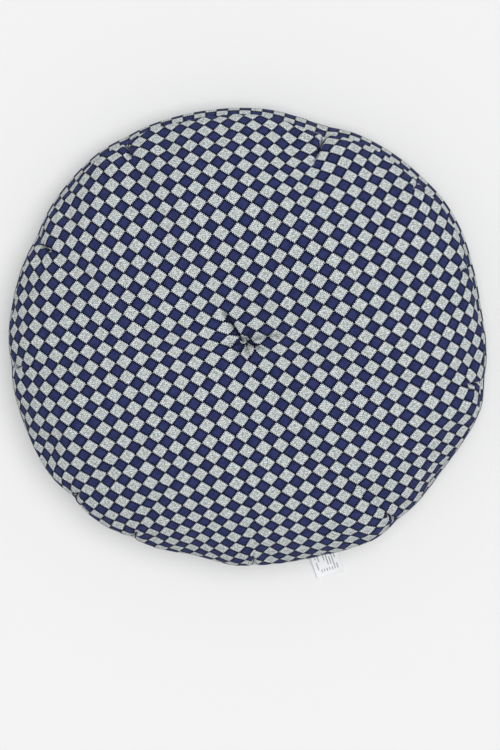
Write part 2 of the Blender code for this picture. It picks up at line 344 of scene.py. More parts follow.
def crown_rings():
    """Rings of the top panel, from the middle out: length of cloth and fineness factor."""
    rings = [(flat_length(radius), factor) for radius, factor in CROWN_RINGS]
    start = rings[-1][0] + RIM_STEP
    count = round((FLAT_RADIUS - start) / RIM_STEP)
    for i in range(count + 1):
        rings.append((start + (FLAT_RADIUS - start) * i / count, RIM_FACTOR))
    for turned_in in (SEAM_LIP, 0.4 * ALLOWANCE, ALLOWANCE):
        rings.append((FLAT_RADIUS + turned_in, RIM_FACTOR))
    return rings


def ring_faces(first_inner, inner_angles, first_outer, outer_angles):
    """Faces between two rings, the outer one with as many points or twice as many."""
    n, m = len(inner_angles), len(outer_angles)
    faces = []
    for i in range(n):
        j = (i + 1) % n
        if m == n:
            faces.append((first_inner + i, first_outer + i, first_outer + j, first_inner + j))
        else:
            a, b, c = 2 * i, 2 * i + 1, (2 * i + 2) % m
            faces.append((first_inner + i, first_outer + a, first_outer + b))
            faces.append((first_inner + i, first_outer + b, first_inner + j))
            faces.append((first_inner + j, first_outer + b, first_outer + c))
    return faces


def polar_layout(rings):
    """Vertices as (length, angle) and faces of a round patch with a middle vertex."""
    places, faces = [(0.0, 0.0)], []
    previous = None
    for length, factor in rings:
        angles = sector_angles(factor)
        first = len(places)
        places += [(length, angle) for angle in angles]
        if previous is None:
            faces += [(0, first + i, first + (i + 1) % len(angles)) for i in range(len(angles))]
        else:
            faces += ring_faces(previous[0], previous[1], first, angles)
        previous = (first, angles)
    return places, faces


def cloth_place(length, angle, side):
    """Place on the flat cloth. side tells which edge of a tuck a point on its line is on."""
    turned = angle
    for tuck_angle, depth, tuck_length in TUCK_LIST:
        hidden = TUCK_TAKE_UP * depth * tuck_share(FLAT_RADIUS - length, tuck_length)
        if hidden == 0.0:
            continue
        away = turn_between(side, tuck_angle)
        near = math.exp(-abs(turn_between(angle, tuck_angle)) / TUCK_SPREAD)
        turned += math.copysign(hidden / 2 / length * near, away)
    for crease_angle, depth, reach in CREASES:
        away = turn_between(angle, compass(crease_angle)) * length
        if depth > 0.9 and length < reach and abs(away) > 1e-6:
            hidden = CREASE_TAKE_UP * depth * smooth(2.0 * (1.0 - length / reach))
            share = math.exp(-abs(away) / CREASE_REACH) * smooth(abs(away) / CREASE_SLOT)
            turned += math.copysign(hidden / 2 / max(length, CREASE_ROOT) * share, away)
    x, y = drawn_aside(length, turned)
    beside, above = x - TUFT.x, y - TUFT.y
    y += (0.5 * TAKEN_UP * math.tanh(above / TAKEN_UP_RAMP)
          * math.exp(-(beside / TAKEN_UP_REACH) ** 2))
    x += DRAWN_IN_BESIDE * math.tanh(beside / BESIDE_RAMP) * math.exp(
        -(beside / BESIDE_REACH) ** 2 - (above / BESIDE_WIDTH) ** 2)
    return (x, y)


def add_cloth_map(piece, place_of):
    """UV map in metres of flat cloth. place_of gets a vertex index and its face's indices."""
    mesh = piece.data
    layer = mesh.uv_layers.new(name="cloth")
    for polygon in mesh.polygons:
        indices = list(polygon.vertices)
        for loop, vertex in zip(polygon.loop_indices, indices):
            layer.data[loop].uv = place_of(vertex, indices)


def face_angle(places, indices):
    """Middle angle of a face, whose corners may lie on both sides of the +X axis."""
    angles = [places[i][1] for i in indices if places[i][0] > 0.0]
    return angles[0] + sum(turn_between(a, angles[0]) for a in angles) / len(angles)


SIMULATED_FRAMES = 20
MOST_MOVED = 0.016


def inflate(piece, rest_points, pinned, pressure, swell):
    """Cloth simulation: the pinned points stay, the rest puffs out, then the shape is kept."""
    mesh = piece.data
    start = coordinates(mesh)
    piece.shape_key_add(name="Basis")
    rest = piece.shape_key_add(name="cut")
    rest.data.foreach_set("co", np.asarray(rest_points, float).ravel())
    group = piece.vertex_groups.new(name="sewn")
    group.add(pinned, 1.0, "REPLACE")
    modifier = piece.modifiers.new("cloth", "CLOTH")
    settings = modifier.settings
    settings.quality = 6
    settings.mass = 0.01
    settings.tension_stiffness = 18
    settings.compression_stiffness = 18
    settings.shear_stiffness = 6
    settings.bending_stiffness = 0.35
    settings.use_pressure = True
    settings.uniform_pressure_force = pressure
    settings.vertex_group_mass = group.name
    settings.rest_shape_key = rest
    settings.shrink_min = -swell
    settings.effector_weights.gravity = 0.0
    modifier.collision_settings.use_collision = False
    modifier.collision_settings.use_self_collision = False
    modifier.point_cache.frame_start = 1
    modifier.point_cache.frame_end = SIMULATED_FRAMES
    for step in range(1, SIMULATED_FRAMES + 1):
        bpy.context.scene.frame_set(step)
    graph = bpy.context.evaluated_depsgraph_get()
    puffed = coordinates(piece.evaluated_get(graph).data)
    piece.modifiers.remove(modifier)
    piece.shape_key_clear()
    moved = puffed - start
    length = np.linalg.norm(moved, axis=1, keepdims=True)
    moved *= np.minimum(1.0, MOST_MOVED / np.maximum(length, 1e-9))
    set_coordinates(mesh, start + moved)
    bpy.context.scene.frame_set(1)


def close_sheet(name, outer, inner_points, inner_faces, outer_rim, inner_rim, material):
    """A closed cloth: the fine outer face, a coarser inner face and the edge between them."""
    outer_mesh = outer.data
    vertices = [v.co.copy() for v in outer_mesh.vertices]
    faces = [tuple(p.vertices) for p in outer_mesh.polygons]
    uvs = [tuple(outer_mesh.uv_layers["cloth"].data[i].uv for i in p.loop_indices)
           for p in outer_mesh.polygons]
    offset = len(vertices)
    vertices += [Vector(p) for p in inner_points]
    for face in inner_faces:
        faces.append(tuple(offset + i for i in reversed(face)))
        uvs.append(tuple((0.0, 0.0) for _ in face))
    for outer_loop, inner_loop in zip(outer_rim, inner_rim):
        count = len(inner_loop)
        for i in range(count):
            j = (i + 1) % count
            a, b, c = outer_loop[2 * i], outer_loop[2 * i + 1], outer_loop[2 * j]
            p, q = offset + inner_loop[i], offset + inner_loop[j]
            for face in ((a, p, b), (p, q, b), (b, q, c)):
                faces.append(face)
                uvs.append(((0.0, 0.0),) * 3)
    closed = new_piece(name, vertices, faces, material)
    layer = closed.data.uv_layers.new(name="cloth")
    for polygon, corners in zip(closed.data.polygons, uvs):
        for loop, corner in zip(polygon.loop_indices, corners):
            layer.data[loop].uv = corner
    bpy.data.objects.remove(outer, do_unlink=True)
    return closed


def crown_outwards(length, angle):
    """Outward direction of the plain dome and of its turned-in allowance."""
    if length > FLAT_RADIUS:
        lean = math.pi / 2 * (1.0 + smooth((length - FLAT_RADIUS) / SEAM_LIP))
    else:
        step = 0.0015
        low, high = max(length - step, 0.0), min(length + step, FLAT_RADIUS)
        r0, r1 = radius_at_length(low), radius_at_length(high)
        fall = crown_height(r0, RISE) - crown_height(r1, RISE)
        lean = math.atan2(fall, r1 - r0)
    return Vector((math.sin(lean) * math.cos(angle), math.sin(lean) * math.sin(angle),
                   math.cos(lean)))


BROAD_LUMP, SMALL_LUMP = 0.0007, 0.00035


def puckers(points):
    """Small soft lumps, deepest where the cloth is fullest near the seam."""
    moved = []
    for point in points:
        p = Vector(point)
        out = Vector((p.x, p.y, (p.z - SEAM_HIGH) * 2.0))
        if out.length > 0:
            out.normalize()
        reach = smooth((math.hypot(p.x, p.y) - 0.10) / 0.09)
        lump = noise.noise(p * 34.0) * BROAD_LUMP
        lump += noise.noise(p * 85.0) * SMALL_LUMP * (0.3 + reach)
        moved.append(p + out * lump)
    return moved


START_FORMED = 0.35          # share of the tucks' depth before the cloth is inflated
DEEPENED = 0.75              # share of the tucks' depth added after it


def build_top_panel(material):
    places, faces = polar_layout(crown_rings())
    start = [crown_point(r, a, RISE * START_RISE, START_FORMED) for r, a in places]
    piece = new_piece("top_start", start, faces, material)
    add_cloth_map(piece, lambda v, face: cloth_place(*places[v], face_angle(places, face)))
    rim = len(sector_angles(RIM_FACTOR))
    pinned = []
    for i, (length, angle) in enumerate(places):
        length_in = FLAT_RADIUS - length
        in_tuck = any(abs(turn_between(angle, t)) * RADIUS_HIGH < TUCK_PINNED
                      and length_in < tuck * 0.75 for t, _, tuck in TUCK_LIST)
        if length_in < 1e-6 or length < PINNED_MIDDLE or in_tuck:
            pinned.append(i)
    cut = [crown_point(r, a, RISE * CUT_RISE, 0.0) for r, a in places]
    inflate(piece, cut, pinned, pressure=4.0, swell=0.012)
    points = puckers(coordinates(piece.data))
    for point, (length, angle) in zip(points, places):
        point.z -= crease_drop(angle, length) * smooth(length / 0.002)
        point.z -= FUNNEL_DEPTH * math.exp(-(length / FUNNEL_RADIUS) ** 2)
        if length < FLAT_RADIUS:
            fold = DEEPENED * tuck_drop(angle, FLAT_RADIUS - length)
            fold *= smooth((FLAT_RADIUS - length) / 0.003)
            point -= crown_outwards(length, angle) * fold
    set_coordinates(piece.data, points)
    coarse = [Vector(p) for p in coordinates(piece.data)]
    inner = [p - crown_outwards(*place) * CLOTH_THICKNESS for p, place in zip(coarse, places)]
    rim_loop = list(range(len(places) - rim, len(places)))
    subdivide(piece)
    outer_loop = rim_after_subdivision(piece.data, [coarse[i] for i in rim_loop])
    closed = close_sheet("top_cover", piece, inner, faces, [outer_loop], [rim_loop], material)
    return closed, places, coarse


def rim_after_subdivision(mesh, loop_points):
    """The fine edge loop's vertices in order, from the coarse loop's points."""
    edges = {}
    for edge in boundary_edges(mesh):
        for a, b in (edge, edge[::-1]):
            edges.setdefault(a, []).append(b)
    first = min(edges, key=lambda i: (mesh.vertices[i].co - loop_points[0]).length)
    second = min(edges[first], key=lambda i: (mesh.vertices[i].co - loop_points[1]).length)
    loop = [first, second]
    while len(loop) < 2 * len(loop_points):
        a, b = edges[loop[-1]]
        loop.append(b if a == loop[-2] else a)
    return loop


def boundary_edges(mesh):
    uses = {}
    for polygon in mesh.polygons:
        for key in polygon.edge_keys:
            uses[key] = uses.get(key, 0) + 1
    return [key for key, count in uses.items() if count == 1]


# The side band

def band_radius(t):
    """Radius of the band at a share t of its height: 0 at the lower seam, 1 at the upper."""
    reach = WIDEST - RADIUS_LOW
    lean = RADIUS_HIGH - RADIUS_LOW
    root = 4 * reach - 2 * lean
    bulge = (root + math.sqrt(root * root - 4 * lean * lean)) / 2
    return RADIUS_LOW + lean * t + bulge * t * (1 - t)


BAND_LOW = SEAM_LOW + SEAM_LIP
BAND_HIGH = SEAM_HIGH - SEAM_LIP
BAND_STEPS = 12
BAND_LUMP = 0.0016
BAND_ROWS = ([(0.0, ALLOWANCE), (0.0, SEAM_LIP)]    # share of the height, distance turned in
             + [(i / BAND_STEPS, 0.0) for i in range(BAND_STEPS + 1)]
             + [(1.0, SEAM_LIP), (1.0, ALLOWANCE)])


def band_point(t, turned_in, angle):
    """A point of the band at a share t of its height. At either seam it can be turned in."""
    height = BAND_LOW + (BAND_HIGH - BAND_LOW) * t
    lip = SEAM_LIP * seam_lip(turned_in)
    height += lip if t == 1.0 else -lip if t == 0.0 else 0.0
    wave = rim_wave(angle) * (LOW_WAVE + (1.0 - LOW_WAVE) * smooth(t * 1.3))
    lump = noise.noise(Vector((math.cos(angle) * 3.2, math.sin(angle) * 3.2, t * 1.7 + 5.0)))
    radius = band_radius(t) + wave + BAND_LUMP * lump * math.sin(math.pi * t) - turned_in
    radius -= tuck_pull(angle) * smooth((t - 0.55) / 0.45) + joint_groove(angle)
    radius -= top_lean(angle) * smooth((t - 0.3) / 0.7)
    return (radius * math.cos(angle), radius * math.sin(angle), height)


def tuck_pull(angle):
    """The band's top edge is drawn in where a tuck meets the seam."""
    pull = 0.0
    for tuck_angle, depth, _ in TUCK_LIST:
        away = abs(turn_between(angle, tuck_angle)) * RADIUS_HIGH
        pull += TUCK_PULL * depth * math.exp(-(away / TUCK_PULL_WIDTH) ** 2)
    return pull


JOINT = middle_of("band_joint_thread")
JOINT_ANGLE = math.atan2(JOINT.y, JOINT.x) % (2 * math.pi)
GROOVE = 0.0011              # depth and half width of the joint's groove


def band_angles():
    """Columns of the band, from its joint once round, with fine steps at the joint."""
    fine = [d / WIDEST for d in (0.0, 0.0006, 0.0013, 0.0026)]
    clear = 0.0044 / WIDEST
    kept = [(a - JOINT_ANGLE) % (2 * math.pi) for a in sector_angles(RIM_FACTOR)]
    kept = [a for a in kept if clear < a < 2 * math.pi - clear]
    turns = fine + sorted(kept) + [2 * math.pi - d for d in reversed(fine[1:])]
    return [JOINT_ANGLE + turn for turn in turns]


def joint_groove(angle):
    """Depth of the groove where the band's two ends are sewn together."""
    away = abs(turn_between(angle, JOINT_ANGLE)) * WIDEST
    return GROOVE * math.exp(-(away / GROOVE) ** 2)


def build_side_band(material):
    angles = band_angles()
    count = len(angles)
    points, faces, lengths = [], [], [0.0]
    for i, (t, turned_in) in enumerate(BAND_ROWS):
        points += [band_point(t, turned_in, angle) for angle in angles]
        if i:
            t0, in0 = BAND_ROWS[i - 1]
            here = Vector(band_point(t, turned_in, 1.0))
            lengths.append(lengths[-1] + (here - Vector(band_point(t0, in0, 1.0))).length)
            faces += band_faces((i - 1) * count, i * count, count)
    piece = new_piece("side_start", points, faces, material)

    def place_of(vertex, face):
        row, k = divmod(vertex, count)
        last = k == 0 and any(v % count == count - 1 for v in face)
        angle = angles[k] + (2 * math.pi if last else 0.0)
        return (angle * WIDEST, lengths[row])

    add_cloth_map(piece, place_of)
    coarse = [Vector(p) for p in coordinates(piece.data)]
    inner = [p - v.normal * CLOTH_THICKNESS for p, v in zip(coarse, piece.data.vertices)]
    low_loop = list(range(count))
    high_loop = list(range((len(BAND_ROWS) - 1) * count, len(BAND_ROWS) * count))
    subdivide(piece)
    fine = [rim_after_subdivision(piece.data, [coarse[i] for i in loop])
            for loop in (low_loop, high_loop)]
    return close_sheet("side_cover", piece, inner, faces, fine, [low_loop, high_loop], material)


# The bottom panel

FOOT_RADIUS = RADIUS_LOW - 0.024    # inside this the base lies on what it stands on
BASE_DIMPLE = 0.010


def base_height(radius):
    """Height of the base: flat, with a dimple in the middle and rising to the lower seam."""
    if radius > FOOT_RADIUS:
        share = (radius - FOOT_RADIUS) / (RADIUS_LOW - FOOT_RADIUS)
        return (SEAM_LOW - SEAM_LIP) * share ** 2.2
    knot = TUFT_FOOT + 0.0030
    return knot * smooth(1.0 - radius / BASE_DIMPLE)


def base_point(length, angle):
    turned_in = max(length - RADIUS_LOW, 0.0)
    radius = min(length, RADIUS_LOW)
    steep = smooth((radius - 0.8 * RADIUS_LOW) / (0.2 * RADIUS_LOW))
    out = radius + LOW_WAVE * rim_wave(angle) * steep - turned_in
    x, y = drawn_aside(out, angle)
    ripple = 0.0
    if radius > 0.6 * FOOT_RADIUS:
        rise = smooth((radius - 0.6 * FOOT_RADIUS) / (0.5 * FOOT_RADIUS))
        ripple = 0.0010 * rise * max(0.0, noise.noise(Vector((x * 26.0, y * 26.0, 3.0))))
    return (x, y, base_height(radius) + ripple + SEAM_LIP * seam_lip(turned_in))


def build_base(material):
    rings = [(0.002, 1), (0.004, 1), (0.0065, 2), (0.009, 2), (0.012, 2), (0.017, 2)]
    rings += [(0.024 + 0.008 * i, BASE_FACTOR) for i in range(17)]
    start = rings[-1][0]
    rings += [(start + (RADIUS_LOW - start) * (i + 1) / 7, BASE_FACTOR) for i in range(7)]
    rings += [(RADIUS_LOW + turned_in, BASE_FACTOR) for turned_in in (SEAM_LIP, ALLOWANCE)]
    places, faces = polar_layout(rings)
    faces = [tuple(reversed(face)) for face in faces]
    points = [base_point(length, angle) for length, angle in places]
    piece = new_piece("base_start", points, faces, material)
    add_cloth_map(piece, lambda v, face: (places[v][0] * math.cos(places[v][1]),
                                          places[v][0] * math.sin(places[v][1])))
    coarse = [Vector(p) for p in coordinates(piece.data)]
    inner = [p - v.normal * CLOTH_THICKNESS for p, v in zip(coarse, piece.data.vertices)]
    rim = len(sector_angles(BASE_FACTOR))
    loop = list(range(len(places) - rim, len(places)))
    subdivide(piece)
    fine = rim_after_subdivision(piece.data, [coarse[i] for i in loop])
    return close_sheet("base_cover", piece, inner, faces, [fine], [loop], material)


# What fills the cover

def closed_rings(name, rings, material):
    """A closed round body from rings of points, each as long as the next, capped by fans."""
    count = len(rings[0])
    points = [p for ring in rings for p in ring]
    faces = []
    last = len(rings) - 1
    for i in range(last):
        faces += band_faces(i * count, (i + 1) * count, count)
    for first, ring, turned in ((0, rings[0], True), (last * count, rings[-1], False)):
        middle = len(points)
        points.append(sum((Vector(p) for p in ring), Vector()) / count)
        for k in range(count):
            face = (first + k, first + (k + 1) % count, middle)
            faces.append(tuple(reversed(face)) if turned else face)
    return new_piece(name, points, faces, material)


def build_upper_filling(places, coarse, material):
    """Wadding that follows the top cover just inside its cloth, flat underneath."""
    gap = CLOTH_THICKNESS + 0.0012
    from_seam = 0.0030
    kept = [i for i, (length, _) in enumerate(places) if length <= FLAT_RADIUS - from_seam]
    rim_length = max(places[i][0] for i in kept)
    rim = [i for i in kept if places[i][0] > rim_length - 1e-6]
    _, faces = polar_layout(crown_rings())
    points = [coarse[i] - crown_outwards(*places[i]) * gap for i in kept]
    inside = set(kept)
    faces = [face for face in faces if all(i in inside for i in face)]
    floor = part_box("upper_wadding")[0][2]
    rings = [[(points[i].x * k, points[i].y * k, floor + lift) for i in rim]
             for k, lift in ((1.0, 0.0012), (0.993, 0.0), (0.9, 0.0), (0.6, 0.0), (0.25, 0.0))]
    previous = rim
    for ring in rings:
        first = len(points)
        points += ring
        faces += [(previous[k], first + k, first + (k + 1) % len(rim),
                   previous[(k + 1) % len(rim)]) for k in range(len(rim))]
        previous = list(range(first, first + len(rim)))
    points.append((0.0, 0.0, floor))
    faces += [(previous[k], len(points) - 1, previous[(k + 1) % len(rim)])
              for k in range(len(rim))]
    return new_piece("upper_filling", points, faces, material)


def build_foam_block(material):
    """The round foam block inside the band, its edges rounded."""
    low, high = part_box("foam_core")[0][2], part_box("foam_core")[1][2]
    angles = sector_angles(BASE_FACTOR)
    rings = []
    for share, inset in ((0.0, 0.05), (0.0, 0.006), (0.02, 0.0035), (0.07, 0.0024),
                         (0.2, 0.0022), (0.4, 0.0022), (0.6, 0.0022), (0.8, 0.0022),
                         (0.93, 0.0024), (0.98, 0.0035), (1.0, 0.006), (1.0, 0.05)):
        ring = []
        for angle in angles:
            x, y, _ = band_point(min(max(share, 0.02), 0.98), inset, angle)
            ring.append((x, y, low + (high - low) * share))
        rings.append(ring)
    return closed_rings("foam_block", rings, material)


def build_lower_filling(material):
    """Thin wadding between the foam and the bottom panel."""
    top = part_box("lower_wadding")[1][2]
    angles = sector_angles(BASE_FACTOR)
    rim = RADIUS_LOW - 0.0085
    rings = []
    for radius in (0.020, 0.06, 0.10, 0.14, 0.155, 0.165, 0.172, rim):
        ring = []
        for angle in angles:
            x, y, z = base_point(radius, angle)
            ring.append((x, y, z + CLOTH_THICKNESS + 0.0008))
        rings.append(ring)
    for radius in (rim, 0.172, 0.14, 0.08, 0.03):
        rings.append([(base_point(radius, a)[0], base_point(radius, a)[1], top) for a in angles])
    return closed_rings("lower_filling", rings, material)


# Threads

def tube(path, radius, sides=8, caps=3):
    """Vertices and faces of a closed round tube along a path, its ends domed."""
    path = [Vector(p) for p in path]
    count = len(path)
    tangents = [(path[min(i + 1, count - 1)] - path[max(i - 1, 0)]).normalized()
                for i in range(count)]
    side = tangents[0].orthogonal().normalized()
    rings = []
    for i, (point, tangent) in enumerate(zip(path, tangents)):
        side = (side - tangent * side.dot(tangent)).normalized()
        across = tangent.cross(side)
        ends = [(0.0, 1.0)]
        if i == 0:
            ends = [(-math.cos(a), math.sin(a)) for a in
                    [math.pi / 2 * k / caps for k in range(1, caps + 1)]]
        elif i == count - 1:
            ends = [(math.cos(a), math.sin(a)) for a in
                    [math.pi / 2 * k / caps for k in range(caps, 0, -1)]]
        for along, wide in ends:
            middle = point + tangent * along * radius
            rings.append([middle + (side * math.cos(2 * math.pi * k / sides)
                                    + across * math.sin(2 * math.pi * k / sides)) * radius * wide
                          for k in range(sides)])
    points = [p for ring in rings for p in ring]
    points += [path[0] - tangents[0] * radius, path[-1] + tangents[-1] * radius]
    faces = []
    for i in range(len(rings) - 1):
        faces += band_faces(i * sides, (i + 1) * sides, sides)
    last = (len(rings) - 1) * sides
    for k in range(sides):
        j = (k + 1) % sides
        faces.append((j, k, len(points) - 2))
        faces.append((last + k, last + j, len(points) - 1))
    return points, faces


def joined(name, parts, material):
    points, faces = [], []
    for part_points, part_faces in parts:
        first = len(points)
        points += part_points
        faces += [tuple(first + i for i in face) for face in part_faces]
    return new_piece(name, points, faces, material)


def around(radius_at, start, arc, pitch, make_stitch):
    """Stitches made one after another along part of a ring."""
    count = round(arc * RADIUS_HIGH / pitch)
    return [make_stitch(start + arc * (i + 0.5) / count, radius_at) for i in range(count)]


THREAD, HAND_THREAD, TUFT_THREAD, KNOT_THREAD = 0.00030, 0.00028, 0.00042, 0.00045
STITCH_PITCH, HAND_PITCH = 0.0031, 0.0046
HALF_STITCH = 0.0011
STITCH_INSET = 0.0018        # the seams' stitches lie this deep in the groove


def upper_seam_radius(angle):
    return RADIUS_HIGH + rim_wave(angle) - top_lean(angle) - STITCH_INSET


def lower_seam_radius(angle):
    return RADIUS_LOW + LOW_WAVE * rim_wave(angle) - STITCH_INSET


def running_stitch(height):
    def make(angle, radius_at):
        turns = [angle + d / RADIUS_HIGH for d in (-HALF_STITCH, 0.0, HALF_STITCH)]
        return tube([(radius_at(a) * math.cos(a), radius_at(a) * math.sin(a), height)
                     for a in turns], THREAD, sides=6, caps=2)
    return make


def slanted_stitch(angle, radius_at):
    """One hand stitch over the lower seam, from the bottom panel's edge up to the band."""
    path = []
    for turn, out, up in ((-0.0020, 0.0004, -0.0024), (-0.0015, 0.0019, -0.0021),
                          (-0.0005, 0.0028, -0.0008), (0.0005, 0.0031, 0.0008),
                          (0.0015, 0.0028, 0.0022), (0.0020, 0.0014, 0.0026)):
        a = angle + turn / RADIUS_LOW
        r = radius_at(a) + out
        path.append((r * math.cos(a), r * math.sin(a), SEAM_LOW + up))
    return tube(path, HAND_THREAD, sides=6, caps=2)


def build_seam_stitches(name, radius_at, height, material):
    return joined(name, around(radius_at, 0.0, 2 * math.pi, STITCH_PITCH,
                               running_stitch(height)), material)


def build_closing_stitches(material):
    """The hand stitches over the lower seam, from the CAD's first one round to -X."""
    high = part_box("closing_stitch")[1]
    start = math.acos(max(-1.0, min(1.0, high[0] / RADIUS_LOW)))
    return joined("closing_stitches", around(lower_seam_radius, start, math.pi - start,
                                             HAND_PITCH, slanted_stitch), material)


def build_joint_stitches(material):
    """Short stitches down the groove where the band's ends meet."""
    low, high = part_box("band_joint_thread")[0][2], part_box("band_joint_thread")[1][2]
    count = round((high - low) / STITCH_PITCH)
    parts = []
    for i in range(count):
        middle = low + (high - low) * (i + 0.5) / count
        path = []
        for dz in (-HALF_STITCH, 0.0, HALF_STITCH):
            t = (middle + dz - BAND_LOW) / (BAND_HIGH - BAND_LOW)
            x, y, _ = band_point(min(max(t, 0.02), 0.98), 0.0, JOINT_ANGLE)
            path.append((x, y, middle + dz))
        parts.append(tube(path, THREAD, sides=6, caps=2))
    return joined("joint_stitches", parts, material)


def build_tuft_thread(material):
    """One doubled thread: a knot underneath, up through the middle, two stitches on top."""
    top = TUFT_TOP - 0.0032
    foot = TUFT_FOOT + 0.0008

    def at(x, y, z):
        return (TUFT.x + x, TUFT.y + y, z)

    up = [at(0.0004, 0.0, foot + (top - 0.001 - foot) * i / 14) for i in range(15)]
    over = [at(0.0005, 0.0002, top - 0.0004), at(0.0010, 0.0005, top + 0.0001),
            at(0.0016, 0.0009, top + 0.0002), at(0.0021, 0.0012, top - 0.0002),
            at(0.0023, 0.0014, top - 0.0012)]
    second = [at(-0.0021, 0.0018, top - 0.0012), at(-0.0019, 0.0016, top - 0.0001),
              at(-0.0013, 0.0011, top + 0.0003), at(-0.0006, 0.0005, top + 0.0001),
              at(-0.0003, 0.0002, top - 0.0010)]
    knot_radius, knot_turns, knot_climb = 0.0013, 2.6, 0.00009
    knot = [at(knot_radius * math.cos(a), knot_radius * math.sin(a),
               foot + 0.0002 + a * knot_climb)
            for a in [2 * math.pi * knot_turns * k / 40 for k in range(41)]]
    return joined("tuft_stitches", [tube(up + over, TUFT_THREAD), tube(second, TUFT_THREAD),
                                    tube(knot, KNOT_THREAD)], material)


# Care label

LABEL_LENGTH, LABEL_WIDTH = 0.0395, 0.0246
LABEL_HALF_THICK, SELVEDGE = 0.00022, 0.00008
LABEL_CURL, LABEL_RIPPLE = 0.0016, 0.0005
LABEL_LOWEST = 0.0006        # the ribbon's middle never lies lower than this
LABEL_END = 0.0009           # height of its free end before it curls


def label_point(hinge, s, w):
    """A point of the ribbon's middle at a share s of its length, w from -0.5 to 0.5 across."""
    along = Vector((hinge.x, hinge.y, 0.0)).normalized()
    across = Vector((-along.y, along.x, 0.0))
    fall = (hinge.z - LABEL_END) * (1 - (1 - s) ** 1.8)
    curl = LABEL_CURL * s * (2 * w) ** 2 * (0.4 + 0.6 * s) + LABEL_RIPPLE * math.sin(5 * s + 3 * w)
    point = hinge + along * (LABEL_LENGTH * s) + across * LABEL_WIDTH * w
    point.z = max(hinge.z - fall + curl * smooth(s * 3), LABEL_LOWEST)
    return point


def build_label(material):
    """A woven ribbon folded out of the seam, slightly curled, its free end on the surface."""
    hinge = Vector(frame["joints"][0]["pos_m"])
    lengths, widths = 36, 16
    points = []
    for sign in (1, -1):
        for i in range(lengths + 1):
            for j in range(widths + 1):
                x, y, z = label_point(hinge, i / lengths, j / widths - 0.5)
                selvedge = SELVEDGE if j in (0, widths) else 0.0
                points.append(Vector((x, y, z + sign * (LABEL_HALF_THICK + selvedge))))
    row = widths + 1
    total = len(points) // 2
    faces = []
    for i in range(lengths):
        for j in range(widths):
            a, b, c, d = i * row + j, i * row + j + 1, (i + 1) * row + j + 1, (i + 1) * row + j
            faces.append((a, d, c, b))
            faces.append((total + a, total + b, total + c, total + d))
    border = [(0, j) for j in range(widths)] + [(i, widths) for i in range(lengths)]
    border += [(lengths - i, widths - j) for i, j in border]
    border = [i * row + j for i, j in border]
    for k, a in enumerate(border):
        b = border[(k + 1) % len(border)]
        faces.append((a, b, total + b, total + a))
    piece = new_piece("label_ribbon", points, faces, material)
    layer = piece.data.uv_layers.new(name="cloth")
    for polygon in piece.data.polygons:
        for loop, vertex in zip(polygon.loop_indices, polygon.vertices):
            i, j = divmod(vertex % total, row)
            layer.data[loop].uv = (LABEL_WIDTH * j / widths, LABEL_LENGTH * i / lengths)
    subdivide(piece)
    return piece


# Materials

class Weave:
    """Small helper that writes a material's nodes one after another."""

    def __init__(self, name, roughness):
        self.material = bpy.data.materials.new(name)
        self.material.use_nodes = True
        self.tree = self.material.node_tree
        self.shader = self.tree.nodes["Principled BSDF"]
        self.shader.inputs["Roughness"].default_value = roughness

    def node(self, kind, **settings):
        made = self.tree.nodes.new(kind)
        for key, value in settings.items():
            setattr(made, key, value)
        return made

    def put(self, socket, value):
        if isinstance(value, bpy.types.NodeSocket):
            self.tree.links.new(value, socket)
        else:
            socket.default_value = value

    def math(self, operation, a, b=0.0, c=0.0):
        made = self.node("ShaderNodeMath", operation=operation)
        for socket, value in zip(made.inputs, (a, b, c)):
            self.put(socket, value)
        return made.outputs[0]

    def step(self, value, low, high, to_low=0.0, to_high=1.0):
        made = self.node("ShaderNodeMapRange", interpolation_type="SMOOTHSTEP")
        for key, v in (("Value", value), ("From Min", low), ("From Max", high),
                       ("To Min", to_low), ("To Max", to_high)):
            self.put(made.inputs[key], v)
        return made.outputs[0]

    def mix(self, share, a, b, blend="MIX"):
        made = self.node("ShaderNodeMix", data_type="RGBA", blend_type=blend)
        self.put(made.inputs[0], share)
        self.put(made.inputs[6], a if isinstance(a, bpy.types.NodeSocket) else (*a, 1.0))
        self.put(made.inputs[7], b if isinstance(b, bpy.types.NodeSocket) else (*b, 1.0))
        return made.outputs[2]

    def noise(self, vector, scale, detail=2.0, roughness=0.5):
        made = self.node("ShaderNodeTexNoise", noise_dimensions="3D")
        self.put(made.inputs["Vector"], vector)
        self.put(made.inputs["Scale"], scale)
        self.put(made.inputs["Detail"], detail)
        self.put(made.inputs["Roughness"], roughness)
        return made.outputs["Fac"]

    def place(self, vector, scale=(1, 1, 1), turn=0.0, shift=(0, 0, 0)):
        made = self.node("ShaderNodeMapping")
        self.put(made.inputs["Vector"], vector)
        made.inputs["Scale"].default_value = scale
        made.inputs["Rotation"].default_value = (0.0, 0.0, turn)
        made.inputs["Location"].default_value = shift
        return made.outputs[0]

    def cloth_map(self):
        return self.node("ShaderNodeUVMap", uv_map="cloth").outputs[0]

    def object_map(self):
        return self.node("ShaderNodeTexCoord").outputs["Object"]

    def split(self, vector):
        made = self.node("ShaderNodeSeparateXYZ")
        self.put(made.inputs[0], vector)
        return made.outputs[0], made.outputs[1]

    def bump(self, height, distance, strength=1.0):
        made = self.node("ShaderNodeBump")
        made.inputs["Strength"].default_value = strength
        made.inputs["Distance"].default_value = distance
        self.put(made.inputs["Height"], height)
        self.put(self.shader.inputs["Normal"], made.outputs[0])


TOP_DIAGONALS = (0.01402, 0.01316)   # of one check, the cloth pulled a little on the bias
TOP_TURN = math.radians(10.8)
TEETH = 6.0                  # steps in a check's edge along one side
TOOTH_DEPTH = 0.105          # of a check's side
YARN_PITCH = 0.00046
TWILL_PITCH = 0.00185


